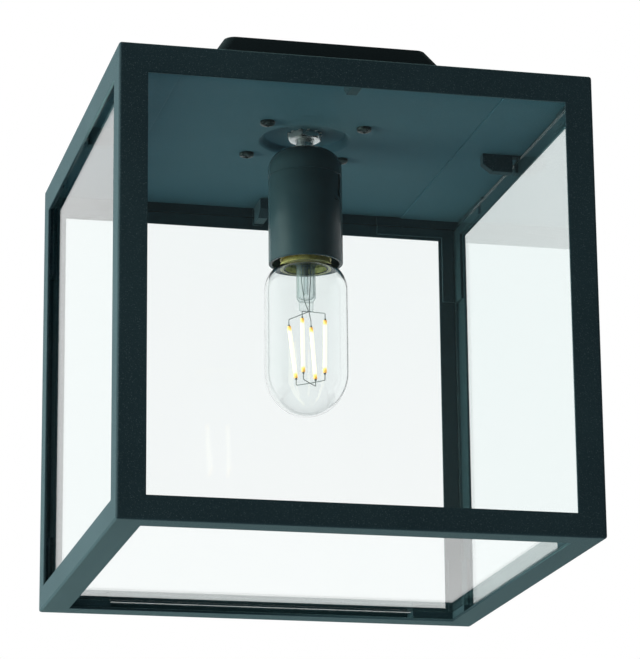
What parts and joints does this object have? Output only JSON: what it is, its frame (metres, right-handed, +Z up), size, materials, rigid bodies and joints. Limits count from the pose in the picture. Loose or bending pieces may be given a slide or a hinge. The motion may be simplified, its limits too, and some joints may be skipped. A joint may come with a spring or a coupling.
{
  "type": "porch ceiling lantern",
  "caption": "Square flush ceiling lantern for a porch: black angle-steel frame, clear glass panes, ceiling canopy and one hanging filament bulb in a black lampholder.",
  "frame": {"origin": "centre of the bracket face that meets the ceiling", "axes": "+Z up into the ceiling, -Y the lantern's front, +X its right seen from the front"},
  "size_m": [0.25, 0.25, 0.2805],
  "materials": {
    "black_powder_coat": "fine-textured satin black powder coat",
    "black_screw": "blackened steel, satin",
    "zinc_steel": "bright zinc plating",
    "clear_glass": "clear float glass with a faint green edge",
    "bulb_clear_glass": "clear lamp glass",
    "holder_plastic": "satin black moulded plastic",
    "white_ceramic": "unglazed white",
    "brass": "plain, slightly dulled",
    "block_plastic": "natural white",
    "brown_insulation": "extruded",
    "blue_insulation": "extruded",
    "green_insulation": "extruded",
    "black_glass": "opaque black glass",
    "nickel_wire": "drawn nickel wire",
    "filament_phosphor": "yellow phosphor over the light strip, lit",
    "driver_board": "solder-masked board"
  },
  "bodies": {
    "lantern": {"ceiling_bracket": "zinc_steel", "bracket_pillars": "zinc_steel", "canopy": "black_powder_coat", "ceiling_pan": "black_powder_coat", "pan_strip_left": "black_powder_coat", "pan_strip_right": "black_powder_coat", "pan_screws": "black_screw", "post_front_left": "black_powder_coat", "post_front_right": "black_powder_coat", "post_back_left": "black_powder_coat", "post_back_right": "black_powder_coat", "top_rail_front": "black_powder_coat", "top_rail_back": "black_powder_coat", "top_rail_left": "black_powder_coat", "top_rail_right": "black_powder_coat", "bottom_rail_front": "black_powder_coat", "bottom_rail_back": "black_powder_coat", "bottom_rail_left": "black_powder_coat", "bottom_rail_right": "black_powder_coat", "top_corner_blocks": "black_powder_coat", "bottom_corner_blocks": "black_powder_coat", "pane_retainers": "black_powder_coat", "pane_bottom": "clear_glass", "threaded_nipple": "zinc_steel", "nipple_top_nut": "zinc_steel", "lock_nut": "zinc_steel", "toothed_washer": "zinc_steel", "holder_cap": "holder_plastic", "holder_skirt": "holder_plastic", "holder_insert": "white_ceramic", "holder_sleeve": "brass", "centre_contact": "brass", "contact_rivets": "brass", "holder_terminals": "brass", "terminal_screws": "zinc_steel", "grub_screw": "black_screw", "terminal_block": "block_plastic", "block_ways": "brass", "block_screws": "zinc_steel", "live_wire": "brown_insulation", "neutral_wire": "blue_insulation", "earth_wire": "green_insulation", "earth_screw": "zinc_steel"},
    "bulb_tip": {"cap_insulator": "black_glass", "tip_contact": "brass"},
    "bulb": {"bulb_glass": "bulb_clear_glass", "bulb_cap": "brass", "bulb_stem": "bulb_clear_glass", "bulb_lead_wires": "nickel_wire", "bulb_filaments": "filament_phosphor", "bulb_star_wires": "nickel_wire", "bulb_driver": "driver_board"},
    "pane_front": {"pane_front": "clear_glass"},
    "pane_back": {"pane_back": "clear_glass"},
    "pane_left": {"pane_left": "clear_glass"},
    "pane_right": {"pane_right": "clear_glass"}
  },
  "joints": [
    {"name": "bulb_travel", "type": "slide", "parent": "lantern", "child": "bulb_tip", "axis": [0, 0, -1], "range_m": [0, 0.02]},
    {"name": "bulb_turn", "type": "hinge", "parent": "bulb_tip", "child": "bulb", "pos_m": [0, 0, -0.109], "axis": [0, 0, -1], "range_deg": [0, 1980]},
    {"name": "pane_front_lift", "type": "slide", "parent": "lantern", "child": "pane_front", "axis": [0, 0, 1], "range_m": [0, 0.0048]},
    {"name": "pane_back_lift", "type": "slide", "parent": "lantern", "child": "pane_back", "axis": [0, 0, 1], "range_m": [0, 0.0048]},
    {"name": "pane_left_lift", "type": "slide", "parent": "lantern", "child": "pane_left", "axis": [0, 0, 1], "range_m": [0, 0.0048]},
    {"name": "pane_right_lift", "type": "slide", "parent": "lantern", "child": "pane_right", "axis": [0, 0, 1], "range_m": [0, 0.0048]}
  ],
  "couplings": [
    {"joint": "bulb_travel", "follows": "bulb_turn", "m_per_rad": 0.00057757}
  ]
}
